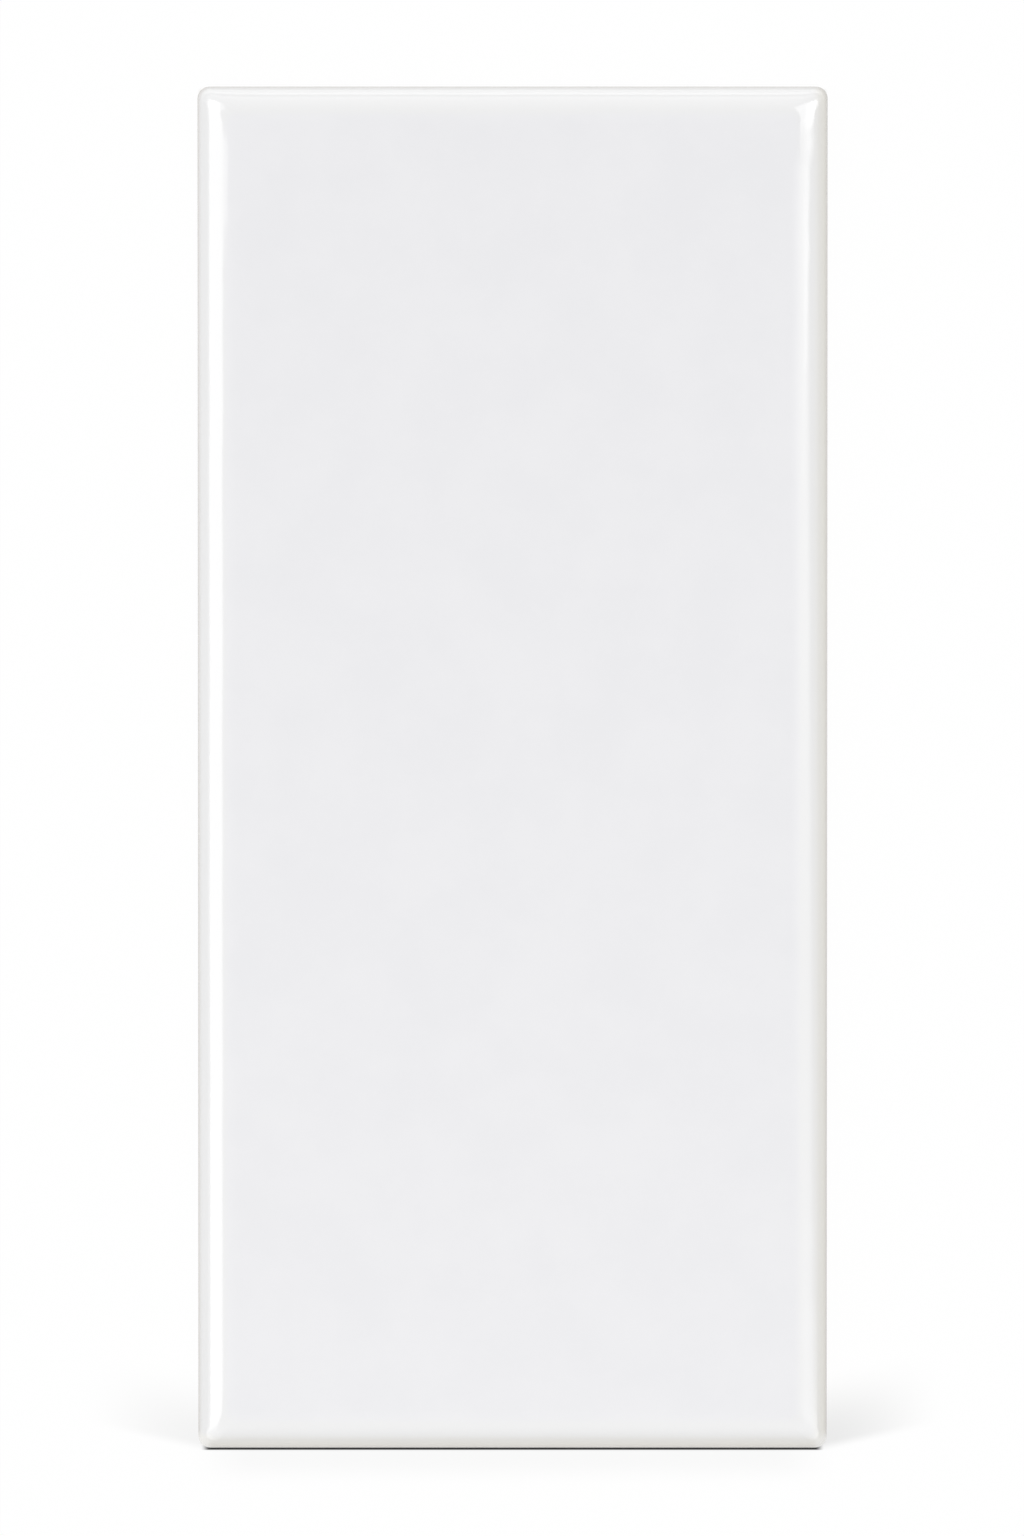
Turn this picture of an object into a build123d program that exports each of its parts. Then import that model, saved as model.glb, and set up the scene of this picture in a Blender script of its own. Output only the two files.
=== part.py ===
from build123d import *
import os
from math import cos, pi, sin

# Porcelain pool tile: one piece of dry-pressed, glazed porcelain, with a rolled edge all round its face and a row
# of dovetail mortar keys along its back.
#
# The tile lies on its back: +Z is the way the glazed face looks, and +Y runs along its length. The origin is
# under the middle of the tile, on the plane that it is bedded on. Sizes are in millimetres.

# The fired tile
tile_length = 240.0
tile_width = 111.0
tile_thickness = 9.0

# The rolled edge of the face: how far it reaches in from the side, and how far it falls from the face
roll_width = 7.0
roll_drop = 4.5

# Plan radius of the four corners. Every level of the roll keeps it, so that the mitres come out soft
corner_radius = 2.1

# Below the roll the side leans in towards the back, as it left the die, and ends in a small chamfer
side_draft = 0.15
foot_chamfer = 0.5

# The mortar keys: dovetail grooves, wider at the root than at the mouth, open at both ends of the tile
key_count = 8
key_pitch = 12.2
key_mouth = 6.6
key_root = 7.6
key_depth = 1.8
key_root_radius = 0.5
key_lip_radius = 0.25

# Levels that the roll is shaped through, from the side up to the face
roll_levels = 13


def outline(inset, height):
    """The tile's outline at one height, drawn in by the inset from the widest line of its side."""
    across = tile_width - 2 * inset
    along = tile_length - 2 * inset
    return Pos(0, 0, height) * RectangleRounded(across, along, corner_radius)


def side_wall():
    """The block under the roll: a chamfered foot, and a side that leans out up to the widest line."""
    foot = outline(side_draft + foot_chamfer, 0)
    chamfer_top = outline(side_draft, foot_chamfer)
    widest = outline(0, tile_thickness - roll_drop)
    return loft([foot, chamfer_top, widest], ruled=True)


def rolled_face():
    """The face and its rolled edge, a quarter of an ellipse that leaves the side upright and meets the face level."""
    levels = []
    for step in range(roll_levels):
        turn = pi / 2 * step / (roll_levels - 1)
        inset = roll_width * (1 - cos(turn))
        height = tile_thickness - roll_drop * (1 - sin(turn))
        levels.append(outline(inset, height))
    return loft(levels)


def key_section():
    """Section of one dovetail key, from the plane of the back up to its root, with its root and lips rounded."""
    flank = (key_root - key_mouth) / 2
    dovetail = Polygon(
        (-key_mouth / 2, 0),
        (key_mouth / 2, 0),
        (key_mouth / 2 + flank, key_depth),
        (-key_mouth / 2 - flank, key_depth),
        align=None,
    )
    under_back = Rectangle(key_pitch, key_depth, align=(Align.CENTER, Align.MAX))
    section = dovetail + under_back
    roots = section.vertices().group_by(Axis.Y)[-1]
    section = fillet(roots, key_root_radius)
    at_back = section.vertices().group_by(Axis.Y)[1].sort_by(Axis.X)
    lips = at_back[1:-1]
    return fillet(lips, key_lip_radius)


def mortar_keys():
    """The row of grooves that the adhesive fills, side by side across the back and along its whole length."""
    groove = extrude(Plane.XZ * key_section(), amount=tile_length, both=True)
    return GridLocations(key_pitch, 0, key_count, 1) * groove


def pool_tile():
    """The tile as it leaves the kiln, one solid."""
    return side_wall() + rolled_face() - mortar_keys()


os.makedirs("parts", exist_ok=True)
tile = pool_tile()
tile.label = "pool_tile"
export_step(tile, "parts/pool_tile.step")
print("pool_tile volume", round(tile.volume / 1000, 1), "cm3, faces", len(tile.faces()))
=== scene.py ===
import math

import bmesh
import bpy
import numpy as np
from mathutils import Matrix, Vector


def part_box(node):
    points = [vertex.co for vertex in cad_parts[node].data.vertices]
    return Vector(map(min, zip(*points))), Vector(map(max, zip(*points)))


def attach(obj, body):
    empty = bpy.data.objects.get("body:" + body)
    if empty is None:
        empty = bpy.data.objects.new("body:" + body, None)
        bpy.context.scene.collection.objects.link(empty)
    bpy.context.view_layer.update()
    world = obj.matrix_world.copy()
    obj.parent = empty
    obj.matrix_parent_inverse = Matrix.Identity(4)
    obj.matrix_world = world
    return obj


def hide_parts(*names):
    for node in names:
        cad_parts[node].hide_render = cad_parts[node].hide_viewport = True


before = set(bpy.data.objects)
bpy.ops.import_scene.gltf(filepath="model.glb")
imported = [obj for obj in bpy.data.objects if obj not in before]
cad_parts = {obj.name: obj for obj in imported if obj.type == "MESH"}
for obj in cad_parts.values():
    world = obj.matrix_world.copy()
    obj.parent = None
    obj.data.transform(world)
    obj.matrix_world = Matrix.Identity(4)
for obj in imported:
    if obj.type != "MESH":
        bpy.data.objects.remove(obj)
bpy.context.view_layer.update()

# The tile. One piece of porcelain, dry-pressed from an ivory body and fired, with a white glaze over its
# face, its rolled edge and about the upper half of its side. Its back is bare, with dovetail keys for the
# adhesive. It is made as one closed skin: bands round its rim, a flat face, two keyed ends and a keyed back.

mm = 0.001
tile_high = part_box("pool_tile")[1]
half_width = tile_high.x
half_length = tile_high.y
thickness = tile_high.z

roll_width = 7.0 * mm
roll_drop = 4.5 * mm
belt_height = thickness - roll_drop
corner_radius = 2.1 * mm
side_draft = 0.15 * mm
foot_chamfer = 0.5 * mm

key_count = 8
key_pitch = 12.2 * mm
key_mouth = 6.6 * mm
key_root = 7.6 * mm
key_depth = 1.8 * mm
key_root_radius = 0.5 * mm
key_lip_radius = 0.25 * mm

# The keys end below the rim's height, and above it the rim runs the same all round. The foot levels are the
# heights of the rows of points below the rim
rim_height = 2.3 * mm
foot_levels = np.array([0, foot_chamfer / 2, foot_chamfer, 1.2 * mm, key_depth, rim_height])

# How many points draw each stretch of the skin
key_root_points = 4
key_arc_points = 5
key_land_points = 3
wall_points = 4
roll_points = 31
face_edge_points = 4
corner_points = 9
length_points = 81


def side_inset(height):
    """How far the side stands in from the widest line: the foot's chamfer, then the draft, both straight."""
    return np.interp(height, [0, foot_chamfer, belt_height], [side_draft + foot_chamfer, side_draft, 0])


def half_key():
    """Half of one key's section, from the middle of its root out to the middle of the next land.

    The flank leans by the angle whose tangent is the undercut over the depth. An arc that rounds the corner
    between flank and root, or flank and land, starts a tangent length away from it: radius over tan of half
    the corner. Returns x and z of the section, and the x of each point where the rim's bands begin above it.
    """
    lean = math.atan((key_root - key_mouth) / 2 / key_depth)
    tangent = 1 / math.tan((math.pi / 2 - lean) / 2)
    root_turn = np.linspace(math.pi / 2, -lean, key_arc_points)
    lip_turn = np.linspace(math.pi - lean, 1.5 * math.pi, key_arc_points)
    root_end = key_root / 2 - tangent * key_root_radius
    lip_end = key_mouth / 2 + tangent * key_lip_radius
    root = np.linspace(0, root_end, key_root_points)[:-1]
    root_arc = root_end + key_root_radius * np.cos(root_turn)
    lip_arc = lip_end + key_lip_radius * np.cos(lip_turn)
    land = np.linspace(lip_end, key_pitch / 2, key_land_points)[1:]
    x = np.concatenate([root, root_arc, lip_arc, land])
    root_arc_z = key_depth - key_root_radius + key_root_radius * np.sin(root_turn)
    lip_arc_z = key_lip_radius + key_lip_radius * np.sin(lip_turn)
    z = np.concatenate([0 * root + key_depth, root_arc_z, lip_arc_z, 0 * land])
    last_root = len(root) - 1
    last_root_arc = last_root + len(root_arc)
    last_lip_arc = last_root_arc + len(lip_arc)
    above = np.interp(
        np.arange(len(x)),
        [0, last_root, last_root_arc, last_lip_arc, len(x) - 1],
        [0, root[-1], key_root / 2, lip_end + key_root_radius, key_pitch / 2],
    )
    return x, z, above


def back_section(core_x):
    """Section of the whole back, from one long side's core line to the other.

    The keys stand in a row, one pitch apart about the middle, with a plain margin at each end of the row.
    Returns x and z of the section, and its columns above: their x as a share of the core line's.
    """
    x, z, above = half_key()
    key_x = np.concatenate([-x[:0:-1], x])
    key_z = np.concatenate([z[:0:-1], z])
    key_above = np.concatenate([-above[:0:-1], above])
    middles = key_pitch * (np.arange(key_count) - (key_count - 1) / 2)
    row_x = (middles[:, None] + key_x[None, :-1]).ravel()
    row_above = (middles[:, None] + key_above[None, :-1]).ravel()
    row_z = np.tile(key_z[:-1], key_count)
    row_edge = key_pitch * key_count / 2
    full_x = np.concatenate([[-core_x], row_x, [row_edge, core_x]])
    full_z = np.concatenate([[0], row_z, [0, 0]])
    full_above = np.concatenate([[-core_x], row_above, [row_edge, core_x]])
    return full_x, full_z, full_above / core_x


foot_core_x = half_width - side_inset(0) - corner_radius
foot_core_y = half_length - side_inset(0) - corner_radius
back_x, back_z, columns = back_section(foot_core_x)
rows = np.linspace(-1, 1, length_points)
corner_turn = np.linspace(0, math.pi / 2, corner_points)


def rim_run(first_side, last_side):
    """Stations along the rim, from one side of the tile to another, as core place and outward direction.

    A station lies on the core rectangle, whose sides are at -1 and 1, and points straight out from it. At a
    corner the core place stays put while the direction turns through a quarter circle.
    """
    ahead = {0: columns, 1: rows, 2: -columns, 3: -rows}
    core, out = [], []
    for side in range(first_side, last_side + 1):
        turn = side * math.pi / 2
        along = ahead[side % 4]
        across = np.full_like(along, 1 if side % 4 in (1, 2) else -1)
        place = [along, across] if side % 2 == 0 else [across, along]
        core.append(np.stack(place, axis=1))
        out.append(np.tile([math.sin(turn), -math.cos(turn)], (len(along), 1)))
        core.append(np.repeat(core[-1][-1:], len(corner_turn), axis=0))
        out.append(np.stack([np.sin(turn + corner_turn), -np.cos(turn + corner_turn)], axis=1))
    return np.concatenate(core), np.concatenate(out)


def rim_band(stations, inset, height, radius):
    """A band of the rim: at each level the core rectangle, drawn in by the inset, grown by the radius."""
    core, out = stations
    reach = np.array([half_width, half_length]) - inset[:, None] - corner_radius
    plan = core[None] * reach[:, None, :] + out[None] * radius[:, None, None]
    level = np.broadcast_to(height[:, None, None], (*plan.shape[:2], 1))
    return np.concatenate([plan, level], axis=2)


def rolled_rim():
    """The rim above the keys: up the side, over the roll, a quarter of an ellipse, and on to the face's core.

    On the roll the inset is its width times 1 - cos of the turn, and the height rises by its drop times sin.
    """
    wall = np.linspace(rim_height, belt_height, wall_points)[:-1]
    turn = np.linspace(0, math.pi / 2, roll_points)
    shrink = np.linspace(1, 0, face_edge_points)[1:]
    inset = np.concatenate([side_inset(wall), roll_width * (1 - np.cos(turn)), 0 * shrink + roll_width])
    height = np.concatenate([wall, belt_height + roll_drop * np.sin(turn), 0 * shrink + thickness])
    radius = corner_radius * np.concatenate([0 * wall + 1, 0 * turn + 1, shrink])
    return rim_band(rim_run(0, 3), inset, height, radius)


def long_foot(side):
    """The foot of one long side and its corners, from the core of the back out to the chamfer, then up."""
    stations = rim_run(side, side)
    before = rim_run(side - 1, side - 1)
    corner = [part[-len(corner_turn):] for part in before]
    stations = [np.concatenate(pair) for pair in zip(corner, stations)]
    height = np.append(0, foot_levels)
    radius = corner_radius * np.append(0, np.ones_like(foot_levels))
    return rim_band(stations, side_inset(height), height, radius)


def keyed_end(toward):
    """The short end below the rim, with the keys' mouths open in it.

    Each column runs straight from its point of the back's section up to the rim. Its levels are the same all
    along, but none is lower than its own first point.
    """
    z = np.maximum(foot_levels[:, None], back_z)
    rim_core = half_width - side_inset(rim_height) - corner_radius
    x = back_x + (columns * rim_core - back_x) * (z - back_z) / (rim_height - back_z)
    side_core = half_width - side_inset(z[:, 0]) - corner_radius
    x[:, 0] = -side_core
    x[:, -1] = side_core
    y = toward * (half_length - side_inset(z))
    return np.stack([x, y, z], axis=2)


def keyed_back():
    """The back: its section carried straight along, each point as far as the ends stand at its height."""
    end = half_length - side_inset(back_z)
    inner = rows[:, None] * foot_core_y + 0 * back_x
    y = np.concatenate([-end[None], inner, end[None]])
    x = np.broadcast_to(back_x, y.shape)
    z = np.broadcast_to(back_z, y.shape)
    return np.stack([x, y, z], axis=2)


def flat_face():
    """The face inside the roll, columns by rows over the core rectangle."""
    core_x = half_width - roll_width - corner_radius
    core_y = half_length - roll_width - corner_radius
    x, y = np.meshgrid(columns * core_x, rows * core_y)
    return np.stack([x, y, np.full_like(x, thickness)], axis=2)


def grid_faces(shape, first, closed):
    """Corner numbers of a grid's quads, which also join its last column to its first if it is closed."""
    number = first + np.arange(shape[0] * shape[1]).reshape(shape[:2])
    if closed:
        number = np.concatenate([number, number[:, :1]], axis=1)
    corners = [number[:-1, :-1], number[:-1, 1:], number[1:, 1:], number[1:, :-1]]
    return np.stack(corners, axis=2).reshape(-1, 4)


# Points closer than this are one point of the skin, and an edge that turns more sharply than this shows
same_point = 0.0005 * mm
sharp_turn = math.radians(40)


def skin_mesh(name, patches):
    """One mesh from grids of points. Where grids share an edge, the shared points are merged into one."""
    points, faces, first = [], [], 0
    for grid, closed in patches:
        faces.append(grid_faces(grid.shape, first, closed))
        points.append(grid.reshape(-1, 3))
        first += points[-1].shape[0]
    mesh = bpy.data.meshes.new(name)
    mesh.from_pydata(np.concatenate(points).tolist(), [], np.concatenate(faces).tolist())
    skin = bmesh.new()
    skin.from_mesh(mesh)
    bmesh.ops.remove_doubles(skin, verts=skin.verts, dist=same_point)
    bmesh.ops.recalc_face_normals(skin, faces=skin.faces)
    skin.to_mesh(mesh)
    skin.free()
    mesh.polygons.foreach_set("use_smooth", np.ones(len(mesh.polygons), bool))
    mesh.set_sharp_from_angle(angle=sharp_turn)
    return mesh


tile_mesh = skin_mesh("pool_tile_skin", [
    (rolled_rim(), True),
    (long_foot(1), False),
    (long_foot(3), False),
    (keyed_end(-1), False),
    (keyed_end(1), False),
    (keyed_back(), False),
    (flat_face(), False),
])
tile = bpy.data.objects.new("fired_tile", tile_mesh)
bpy.context.scene.collection.objects.link(tile)


class Wire:
    """A shader node's output. Sums, differences and products of wires and numbers add Math nodes."""

    def __init__(self, tree, socket=None):
        self.tree = tree
        self.socket = socket

    def node(self, kind, settings=None, sockets=None, output=0):
        """Adds any node: its settings first, then a number or a wire for each socket.

        Sockets go by identifier or by place.
        """
        made = self.tree.nodes.new(kind)
        for name, value in (settings or {}).items():
            setattr(made, name, value)
        for key, value in (sockets or {}).items():
            socket = find_socket(made.inputs, key)
            if isinstance(value, Wire):
                self.tree.links.new(value.socket, socket)
            else:
                socket.default_value = value
        return Wire(self.tree, find_socket(made.outputs, output)) if made.outputs else None

    def math(self, operation, *values):
        return self.node("ShaderNodeMath", {"operation": operation}, dict(enumerate(values)))

    def __add__(self, other):
        return self.math("ADD", self, other)

    def __radd__(self, other):
        return self.math("ADD", other, self)

    def __sub__(self, other):
        return self.math("SUBTRACT", self, other)

    def __rsub__(self, other):
        return self.math("SUBTRACT", other, self)

    def __mul__(self, other):
        return self.math("MULTIPLY", self, other)

    def __rmul__(self, other):
        return self.math("MULTIPLY", other, self)

    def axis(self, name):
        """The X, Y or Z of a position wire."""
        return self.node("ShaderNodeSeparateXYZ", None, {"Vector": self}, name)

    def ramp(self, low, high):
        """0 below low, 1 above high, and an S-curve between them. With low above high it falls instead."""
        ends = {"Value": self, "From Min": low, "From Max": high}
        return self.node("ShaderNodeMapRange", {"interpolation_type": "SMOOTHSTEP"}, ends, "Result")

    def tint(self, low, high):
        """The colour low where this wire is 0, and high where it is 1."""
        colours = {"Factor_Float": self, "A_Color": low, "B_Color": high}
        return self.node("ShaderNodeMix", {"data_type": "RGBA"}, colours, "Result_Color")

    def noise(self, size, detail, roughness=0.5):
        """Soft noise from 0 to 1 over a position wire, with features of about the given size in metres."""
        scale = (1 / size, 1 / size, 1 / size)
        place = self.node("ShaderNodeMapping", None, {"Vector": self, "Scale": scale})
        sockets = {"Vector": place, "Scale": 1.0, "Detail": detail, "Roughness": roughness}
        return self.node("ShaderNodeTexNoise", {"normalize": True}, sockets, "Fac")


def find_socket(sockets, key):
    """A node's socket by its place, or by its identifier."""
    if isinstance(key, int):
        return sockets[key]
    return next(socket for socket in sockets if socket.identifier == key)


def new_finish(name):
    """A new material, with its shader emptied, and the tree's position wire in metres."""
    material = bpy.data.materials.new(name)
    material.use_nodes = True
    material.node_tree.nodes.clear()
    place = Wire(material.node_tree).node("ShaderNodeTexCoord", None, None, "Object")
    return material, place


# The glaze and the bare body, one finish over the whole skin, with painted shade and a painted highlight in
# the glaze
glaze_white = (0.839, 0.839, 0.858, 1)
glaze_clouded = (0.856, 0.855, 0.872, 1)
glaze_rolled = (0.850, 0.850, 0.852, 1)
# The next is a painted warm shade, creamier and a little darker, over the right and the lower roll
painted_warm_shade = (0.845, 0.825, 0.765, 1)
# The next is the thinner glaze at the arris, darkened further by painted shade
thin_glaze_painted_shade = (0.63, 0.605, 0.575, 1)
# The next is a painted highlight at the two lower corners
painted_corner_highlight = (0.94, 0.93, 0.90, 1)
body_ivory = (0.74, 0.71, 0.64, 1)
body_dark = (0.62, 0.58, 0.50, 1)

# The line that the glaze ends in: its height over the back, how far and how often it wanders, and its blur
glaze_line = 2.35 * mm
glaze_line_wander = 1.1 * mm
glaze_line_waves = 9 * mm
glaze_line_blur = 0.06 * mm

# Each pair is where a change in the glaze's colour begins and where it is full: the thin glaze with its
# painted shade, the roll, the painted warm shade and the painted highlight. The first three are heights on
# the tile, and the others are distances past its side or its lower end, which are below 0 on the tile
thin_shade_down_roll = (6.8 * mm, 4.8 * mm)
thin_shade_up_side = (3.4 * mm, 4.2 * mm)
rolled_down = (thickness - 0.02 * mm, thickness - 0.3 * mm)
warm_shade_out = (-3.2 * mm, 0)
highlight_sideways = (-3 * mm, -1 * mm)
highlight_down = (-3.4 * mm, -1.4 * mm)

# The glaze's clouds, dimples and slow ripple, the body's grain and its patches of dust, and how rough each
# finish is. A cloud adds a little to the glaze's roughness
cloud_size = 12 * mm
cloud_contrast = (0.3, 0.7)
dimple_size = 2.2 * mm
dimple_height = 0.0016 * mm
ripple_size = 15 * mm
ripple_height = 0.14 * mm
grain_size = 0.5 * mm
grain_height = 0.03 * mm
dust_size = 14 * mm
body_contrast = (0.35, 0.7)
glaze_roughness = 0.05
cloud_roughness = 0.02
body_roughness = 0.6


def glazed_porcelain():
    """White glaze, ending in an uneven line about halfway up the side, over bare body.

    It is a little blue on the face. Over the right and the lower roll it has a painted warm shade, creamier
    and a little darker. At the arris between roll and side it is greyer: the glaze is thin there, and painted
    shade darkens it further. At the two lower corners a painted highlight keeps it white to the arris.
    """
    material, place = new_finish("glazed_porcelain")
    right = place.axis("X")
    down = 0 - place.axis("Y")
    height = place.axis("Z")
    past_side = place.math("ABSOLUTE", right) - half_width
    past_foot = down - half_length
    line = glaze_line + (place.noise(glaze_line_waves, 3.0) - 0.5) * glaze_line_wander
    glazed = (height - line).ramp(-glaze_line_blur, glaze_line_blur)
    # Painted shade, with the thinner glaze, at the arris between roll and side
    thin_glaze_and_shade = height.ramp(*thin_shade_down_roll) * height.ramp(*thin_shade_up_side)
    rolled = height.ramp(*rolled_down)
    # Painted warm shade over the right and the lower roll
    warm_shade_mask = place.math("MAXIMUM", right - half_width, past_foot).ramp(*warm_shade_out)
    # A painted highlight at the two lower corners, white to the arris
    corner_highlight = past_side.ramp(*highlight_sideways) * past_foot.ramp(*highlight_down)
    cloud = place.noise(cloud_size, 4.0, 0.6).ramp(*cloud_contrast)
    on_face = cloud.tint(glaze_white, glaze_clouded)
    on_roll = warm_shade_mask.tint(glaze_rolled, painted_warm_shade)
    glaze = thin_glaze_and_shade.tint(rolled.tint(on_face, on_roll), thin_glaze_painted_shade)
    glaze = corner_highlight.tint(glaze, painted_corner_highlight)
    grain = place.noise(grain_size, 4.0, 0.6)
    dust = place.noise(dust_size, 4.0, 0.6)
    body = (grain * 0.5 + dust * 0.5).ramp(*body_contrast).tint(body_ivory, body_dark)
    colour = glazed.tint(body, glaze)
    smoother = body_roughness - glaze_roughness
    roughness = body_roughness - glazed * smoother + glazed * (cloud * cloud_roughness)
    peel = place.noise(dimple_size, 1.0) * dimple_height + place.noise(ripple_size, 1.0) * ripple_height
    tooth = (grain - 0.5) * grain_height
    relief = glazed * peel + (1 - glazed) * tooth
    bump = {"Height": relief, "Distance": 1.0, "Strength": 1.0}
    normal = place.node("ShaderNodeBump", None, bump, "Normal")
    sockets = {"Base Color": colour, "Roughness": roughness, "Normal": normal, "IOR": 1.5}
    shader = place.node("ShaderNodeBsdfPrincipled", None, sockets, "BSDF")
    place.node("ShaderNodeOutputMaterial", None, {"Surface": shader})
    return material


tile_mesh.materials.append(glazed_porcelain())
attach(tile, "root")
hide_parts("pool_tile")

# The floor. A sheet of white studio paper that runs out past every side of the picture. The tile lies on it,
# and its shadow stays on it: dark under the tile, and a painted shadow in the paper's glow in a line along
# its lower foot, faint in a band past that line, and soft beside its lower corners.

floor_reach = 4.0
floor_gap = 0.02 * mm
floor_glow = 0.97
fibre_size = 3 * mm
paper_white = (0.96, 0.96, 0.96, 1)
paper_fibre = (0.93, 0.93, 0.93, 1)
plain_white = (1, 1, 1, 1)
# Painted shadows, tinted into the paper's glow
band_shadow = (0.955, 0.955, 0.955, 1)
pool_shadow = (0.83, 0.83, 0.83, 1)
foot_shadow = (0.02, 0.02, 0.02, 1)

# Each pair is where a shadow begins and where it is full, past the tile's side or end, or past its lower foot
under_edge = (0.2 * mm, -0.4 * mm)
from_foot = (-1 * mm, 0)
foot_line_edge = (1.06 * mm, 0.84 * mm)
foot_line_ends = (-0.2 * mm, -1.8 * mm)
band_edge = (7.6 * mm, 2.6 * mm)
band_ends = (2 * mm, -10 * mm)
pool_top = (-13.5 * mm, -1 * mm)
pool_bottom = (1.3 * mm, -0.7 * mm)
pool_out = (22 * mm, 0)

# How steeply a pool's lower edge rises away from the tile, and how deep the left pool is beside the right
pool_slant = 0.22
left_pool_share = 0.55


def seen_or_mirrored(place):
    """1 for a ray from the camera, off a mirror or through glass, and 0 for one that gathers other light."""
    seen = 0
    for kind in ("Is Camera Ray", "Is Glossy Ray", "Is Transmission Ray"):
        seen = place.math("MAXIMUM", seen, place.node("ShaderNodeLightPath", None, None, kind))
    return seen


def white_paper():
    """White paper, lifted to near pure white by a share of plain glow, which only the camera and mirrors see.

    The glow ends under the tile, where the paper is as dark as it is. Past the tile a shadow is painted into
    the glow's colour: deep in a line along the lower foot, faint in a band past that line, and in a soft pool
    beside each lower corner, whose lower edge slants up and away from the tile. The right pool is the deeper
    one.
    """
    material, place = new_finish("white_paper")
    right = place.axis("X")
    down = 0 - place.axis("Y")
    past_side = place.math("ABSOLUTE", right) - half_width
    past_end = place.math("ABSOLUTE", down) - half_length
    past_foot = down - half_length
    under = past_side.ramp(*under_edge) * past_end.ramp(*under_edge)
    below = past_foot.ramp(*from_foot)
    foot_line = below * past_foot.ramp(*foot_line_edge) * past_side.ramp(*foot_line_ends)
    band = below * past_foot.ramp(*band_edge) * past_side.ramp(*band_ends)
    slant = past_foot + place.math("MAXIMUM", past_side, 0.0) * pool_slant
    pool = slant.ramp(*pool_top) * slant.ramp(*pool_bottom) * past_side.ramp(*pool_out)
    pool = pool * (left_pool_share + right.ramp(-half_width, half_width) * (1 - left_pool_share))
    # The painted shadow, tinted into the colour of the glow
    shaded = pool.tint(band.tint(plain_white, band_shadow), pool_shadow)
    shaded = foot_line.tint(shaded, foot_shadow)
    fibre = place.noise(fibre_size, 3.0).tint(paper_fibre, paper_white)
    paper_sockets = {"Base Color": fibre, "Roughness": 0.9, "Specular IOR Level": 0.0}
    paper = place.node("ShaderNodeBsdfPrincipled", None, paper_sockets, "BSDF")
    glow = place.node("ShaderNodeEmission", None, {"Color": shaded, "Strength": 1.0})
    glowing = seen_or_mirrored(place) * (1 - under) * floor_glow
    surface = place.node("ShaderNodeMixShader", None, {"Fac": glowing, 1: paper, 2: glow})
    place.node("ShaderNodeOutputMaterial", None, {"Surface": surface})
    return material


def paper_sheet():
    """A flat square just under the tile, its corners at plus and minus the reach."""
    x, y = np.meshgrid([-floor_reach, floor_reach], [-floor_reach, floor_reach])
    grid = np.stack([x, y, np.full_like(x, -floor_gap)], axis=2)
    return skin_mesh("paper_sheet", [(grid, False)])


floor_mesh = paper_sheet()
floor_mesh.materials.append(white_paper())
floor = bpy.data.objects.new("studio_paper", floor_mesh)
bpy.context.scene.collection.objects.link(floor)

# The studio. A pale room, lighter overhead and towards the tile's top left, lights the tile evenly. White
# cards hang a metre over it, a low window stands past its top end, and the floor before that window is
# bright. The glaze mirrors them in its rolled edge. They are lit for that alone, and add no diffuse light.

room_light = 0.612
ceiling_middle = (-0.22, 0.32, 0.922)
ceiling_light = 0.99
ceiling_falloff = 3.0


def studio_room():
    """The world: plain white where it is seen or mirrored, and the room's own light everywhere else.

    That light is even all round, plus a lobe about the ceiling's middle that falls off as the cosine of the
    angle from it, raised to the falloff.
    """
    world = bpy.data.worlds.new("studio_room")
    world.use_nodes = True
    world.node_tree.nodes.clear()
    ahead = Wire(world.node_tree).node("ShaderNodeTexCoord", None, None, "Generated")
    toward = {0: ahead, 1: ceiling_middle}
    cosine = ahead.node("ShaderNodeVectorMath", {"operation": "DOT_PRODUCT"}, toward, "Value")
    lobe = ahead.math("POWER", ahead.math("MAXIMUM", cosine, 0.0), ceiling_falloff)
    light = lobe * ceiling_light + room_light
    strength = light + seen_or_mirrored(ahead) * (1 - light)
    background = ahead.node("ShaderNodeBackground", None, {"Color": plain_white, "Strength": strength})
    ahead.node("ShaderNodeOutputWorld", None, {"Surface": background})
    return world


def drawn_lamp(name, width, depth):
    """A flat lamp that adds no diffuse light, and the places across and along it, from its middle.

    Its power is pi times its area, which makes the light that is drawn on it true.
    """
    light = bpy.data.lights.new(name, "AREA")
    light.shape = "RECTANGLE"
    light.size = width
    light.size_y = depth
    light.energy = math.pi * width * depth
    light.use_nodes = True
    light.node_tree.nodes.clear()
    place = Wire(light.node_tree).node("ShaderNodeNewGeometry", None, None, "Parametric")
    lamp = bpy.data.objects.new(name, light)
    lamp.visible_diffuse = False
    bpy.context.scene.collection.objects.link(lamp)
    return lamp, (place.axis("X") - 0.5) * width, (place.axis("Y") - 0.5) * depth


def draw_light(strength):
    """Makes a wire the light of its lamp."""
    glow = strength.node("ShaderNodeEmission", None, {"Color": plain_white, "Strength": strength})
    strength.node("ShaderNodeOutputLight", None, {"Surface": glow})


# The plan of the cards and the walls, in metres from the point over the tile's middle. A wall's light begins
# at the first of its two distances from the walls' own middle, and is full at the second
plan_height = 1.0
plan_reach = 3.5
plan_fade = 2.6
wall_light = 0.657
wall_middle = (0.14, 0.47)
wall_edge = (0.12, 0.94)

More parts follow.
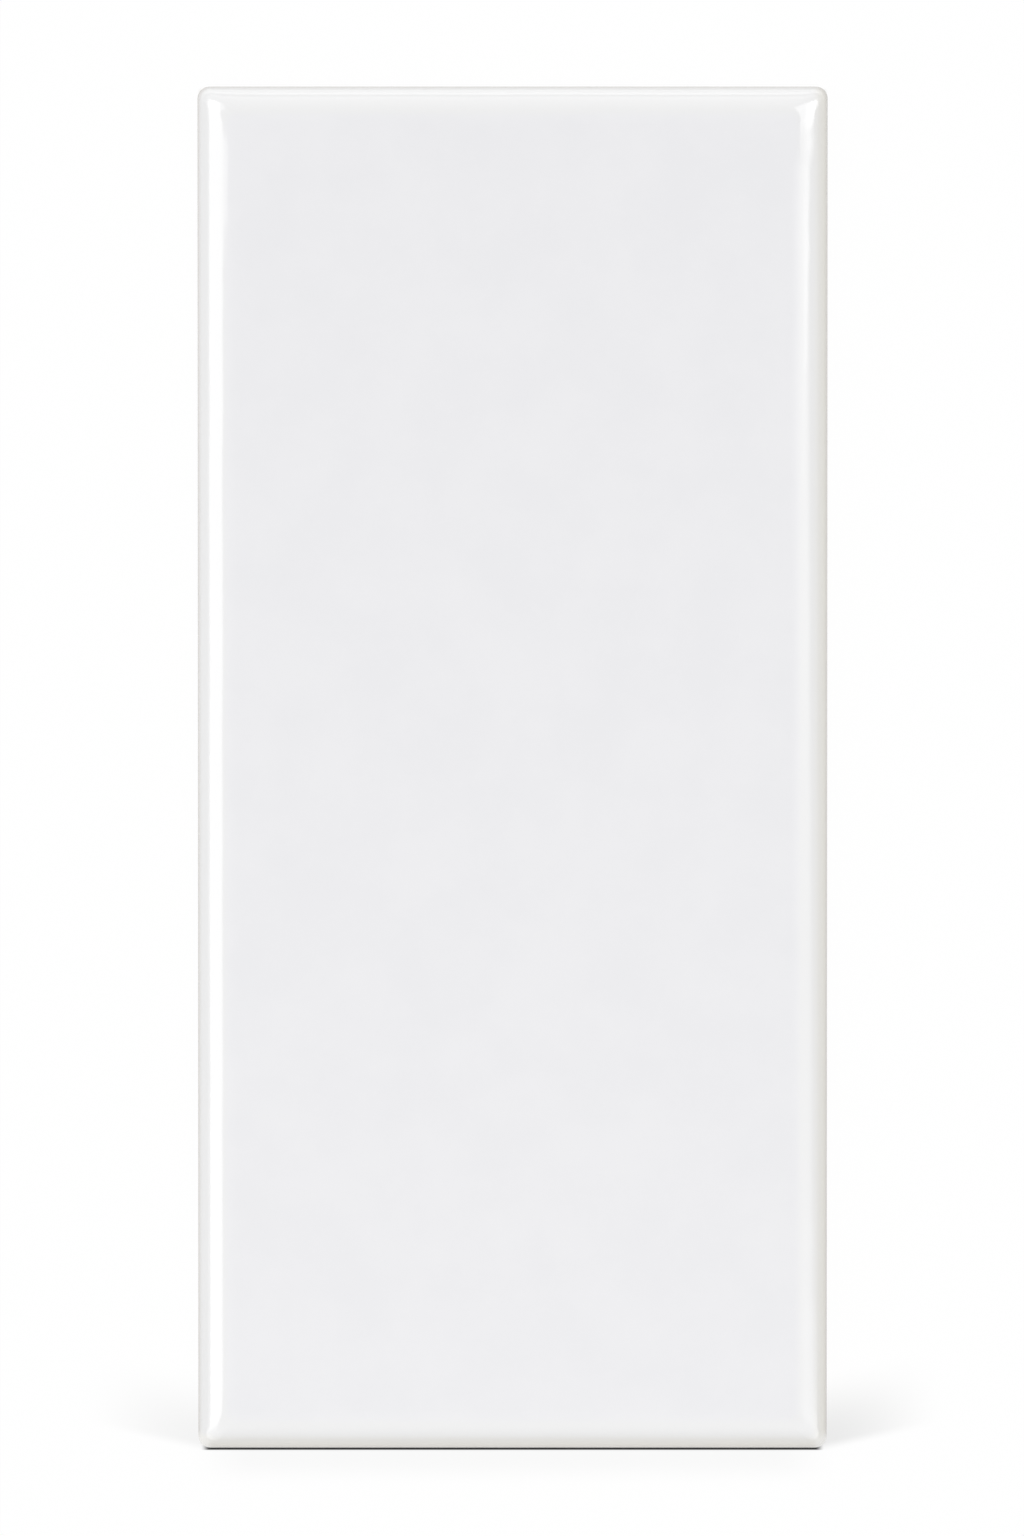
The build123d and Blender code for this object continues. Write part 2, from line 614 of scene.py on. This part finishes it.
# Each card's brightness, then its corners on the plan with how softly the edge that starts there fades in
cards = {
    "left_card": (2.93, [
        (-0.65, -0.95, 0.14), (-0.42, 1.04, 0.10), (-1.35, 1.42, 0.08), (-2.35, 0.29, 0.37),
        (-2.05, -1.21, 0.60),
    ]),
    "left_card_step": (1.7, [
        (-0.38, 0.15, 0.03), (-0.36, 0.20, 0.01), (-0.62, 0.22, 0.05), (-0.62, 0.14, 0.03),
    ]),
    "left_card_tip": (1.7, [
        (-0.62, 0.42, 0.04), (-0.33, 0.64, 0.04), (-0.33, 0.97, 0.05), (-0.80, 1.10, 0.05),
    ]),
    "upper_right_card": (2.19, [
        (0.54, 0.05, 0.05), (2.75, 0.55, 0.37), (1.67, 1.58, 0.15), (0.39, 0.77, 0.40),
    ]),
    "upper_right_window": (2.90, [
        (0.45, 0.18, 0.03), (1.72, 0.25, 0.13), (1.84, 1.42, 0.14), (0.09, 0.87, 0.06),
    ]),
    "right_card": (3.39, [
        (0.06, -0.44, 1.03), (2.39, -0.67, 0.29), (1.06, 0.22, 0.03), (0.07, 0.19, 0.53),
    ]),
    "top_card": (0.60, [
        (-1.24, 1.10, 1.10), (2.36, 1.45, 1.46), (5.95, 5.48, 0.18), (-4.88, 5.92, 1.31),
    ]),
    "lower_right_card": (2.18, [
        (-0.39, -1.08, 1.65), (2.00, -4.39, 1.40), (5.56, -0.68, 0.26), (0.34, -0.01, 0.61),
    ]),
    "lower_left_card": (1.91, [
        (-2.46, -5.59, 2.96), (1.27, -1.88, 0.95), (0.65, 0.09, 1.05), (-5.10, -0.32, 2.06),
    ]),
}


def card_light(x, y, brightness, corners):
    """The light of one card at a place on the plan. Its corners go anticlockwise as the camera sees them.

    How far the place lies inside an edge is the cross product of the edge's direction and the way to it.
    """
    light = brightness
    for (from_x, from_y, blur), (to_x, to_y, _) in zip(corners, corners[1:] + corners[:1]):
        length = math.hypot(to_x - from_x, to_y - from_y)
        inside = (y - from_y) * ((to_x - from_x) / length) - (x - from_x) * ((to_y - from_y) / length)
        light = light * inside.ramp(0, blur)
    return light


def light_plan():
    """One wide lamp over the tile, drawn with the pale walls and the cards.

    The walls brighten away from a middle of their own, and all fades out towards the lamp's edge.
    """
    plan, x, y = drawn_lamp("light_plan", 2 * plan_reach, 2 * plan_reach)
    plan.location = (0, 0, plan_height)
    wall_x = x - wall_middle[0]
    wall_y = y - wall_middle[1]
    light = x.math("SQRT", wall_x * wall_x + wall_y * wall_y).ramp(*wall_edge) * wall_light
    for brightness, corners in cards.values():
        light = light + card_light(x, y, brightness, corners)
    draw_light(light * x.math("SQRT", x * x + y * y).ramp(plan_reach, plan_fade))


# The window, and the bright strip of floor before it
window_distance = 6.0
window_width = 14.0
window_height = 1.5
window_light = 2.0
strip_width = 0.8
strip_length = 0.4
strip_start = 20 * mm
strip_light = 1.0
edge_fade = 0.45


def soft_strip(name, width, depth, brightness):
    """A strip lamp that is full over the middle half of its width, and dims from there towards its ends.

    It also dims over a share of its depth, the edge fade, towards one edge: the window's upper one, and the
    far one of the strip of floor.
    """
    strip, across, along = drawn_lamp(name, width, depth)
    ends = across.math("ABSOLUTE", across).ramp(width / 2, width / 4)
    edge = along.ramp(-depth / 2, (edge_fade - 0.5) * depth)
    draw_light(ends * edge * brightness)
    return strip


bpy.context.scene.world = studio_room()
light_plan()
low_window = soft_strip("low_window", window_width, window_height, window_light)
low_window.location = (0, window_distance, window_height / 2)
low_window.rotation_euler = (-math.pi / 2, 0, 0)
bright_floor = soft_strip("bright_floor", strip_width, strip_length, strip_light)
bright_floor.location = (0, half_length + strip_start + strip_length / 2, floor_gap)
bright_floor.rotation_euler = (math.pi, 0, 0)

# The camera. It stands over the tile, 18 mm from its middle towards its top end, and leans back to the
# middle, so that the top end looks a trace wider. Its lens gives the tile its height in the photograph.

photo_height = 1536
tile_height_in_photo = 1361
camera_distance = 1.2
camera_lean = math.radians(0.86)
middle_shift = 0.1 * mm

lens = bpy.data.cameras.new("camera")
lens.sensor_width = 36.0
lens.lens = lens.sensor_width * camera_distance * tile_height_in_photo / (2 * half_length * photo_height)
camera = bpy.data.objects.new("camera", lens)
camera.rotation_euler = (-camera_lean, 0, 0)
camera.location = (
    -middle_shift,
    math.sin(camera_lean) * camera_distance,
    math.cos(camera_lean) * camera_distance + belt_height,
)
bpy.context.scene.collection.objects.link(camera)
bpy.context.scene.camera = camera
bpy.context.scene.view_settings.view_transform = "Standard"
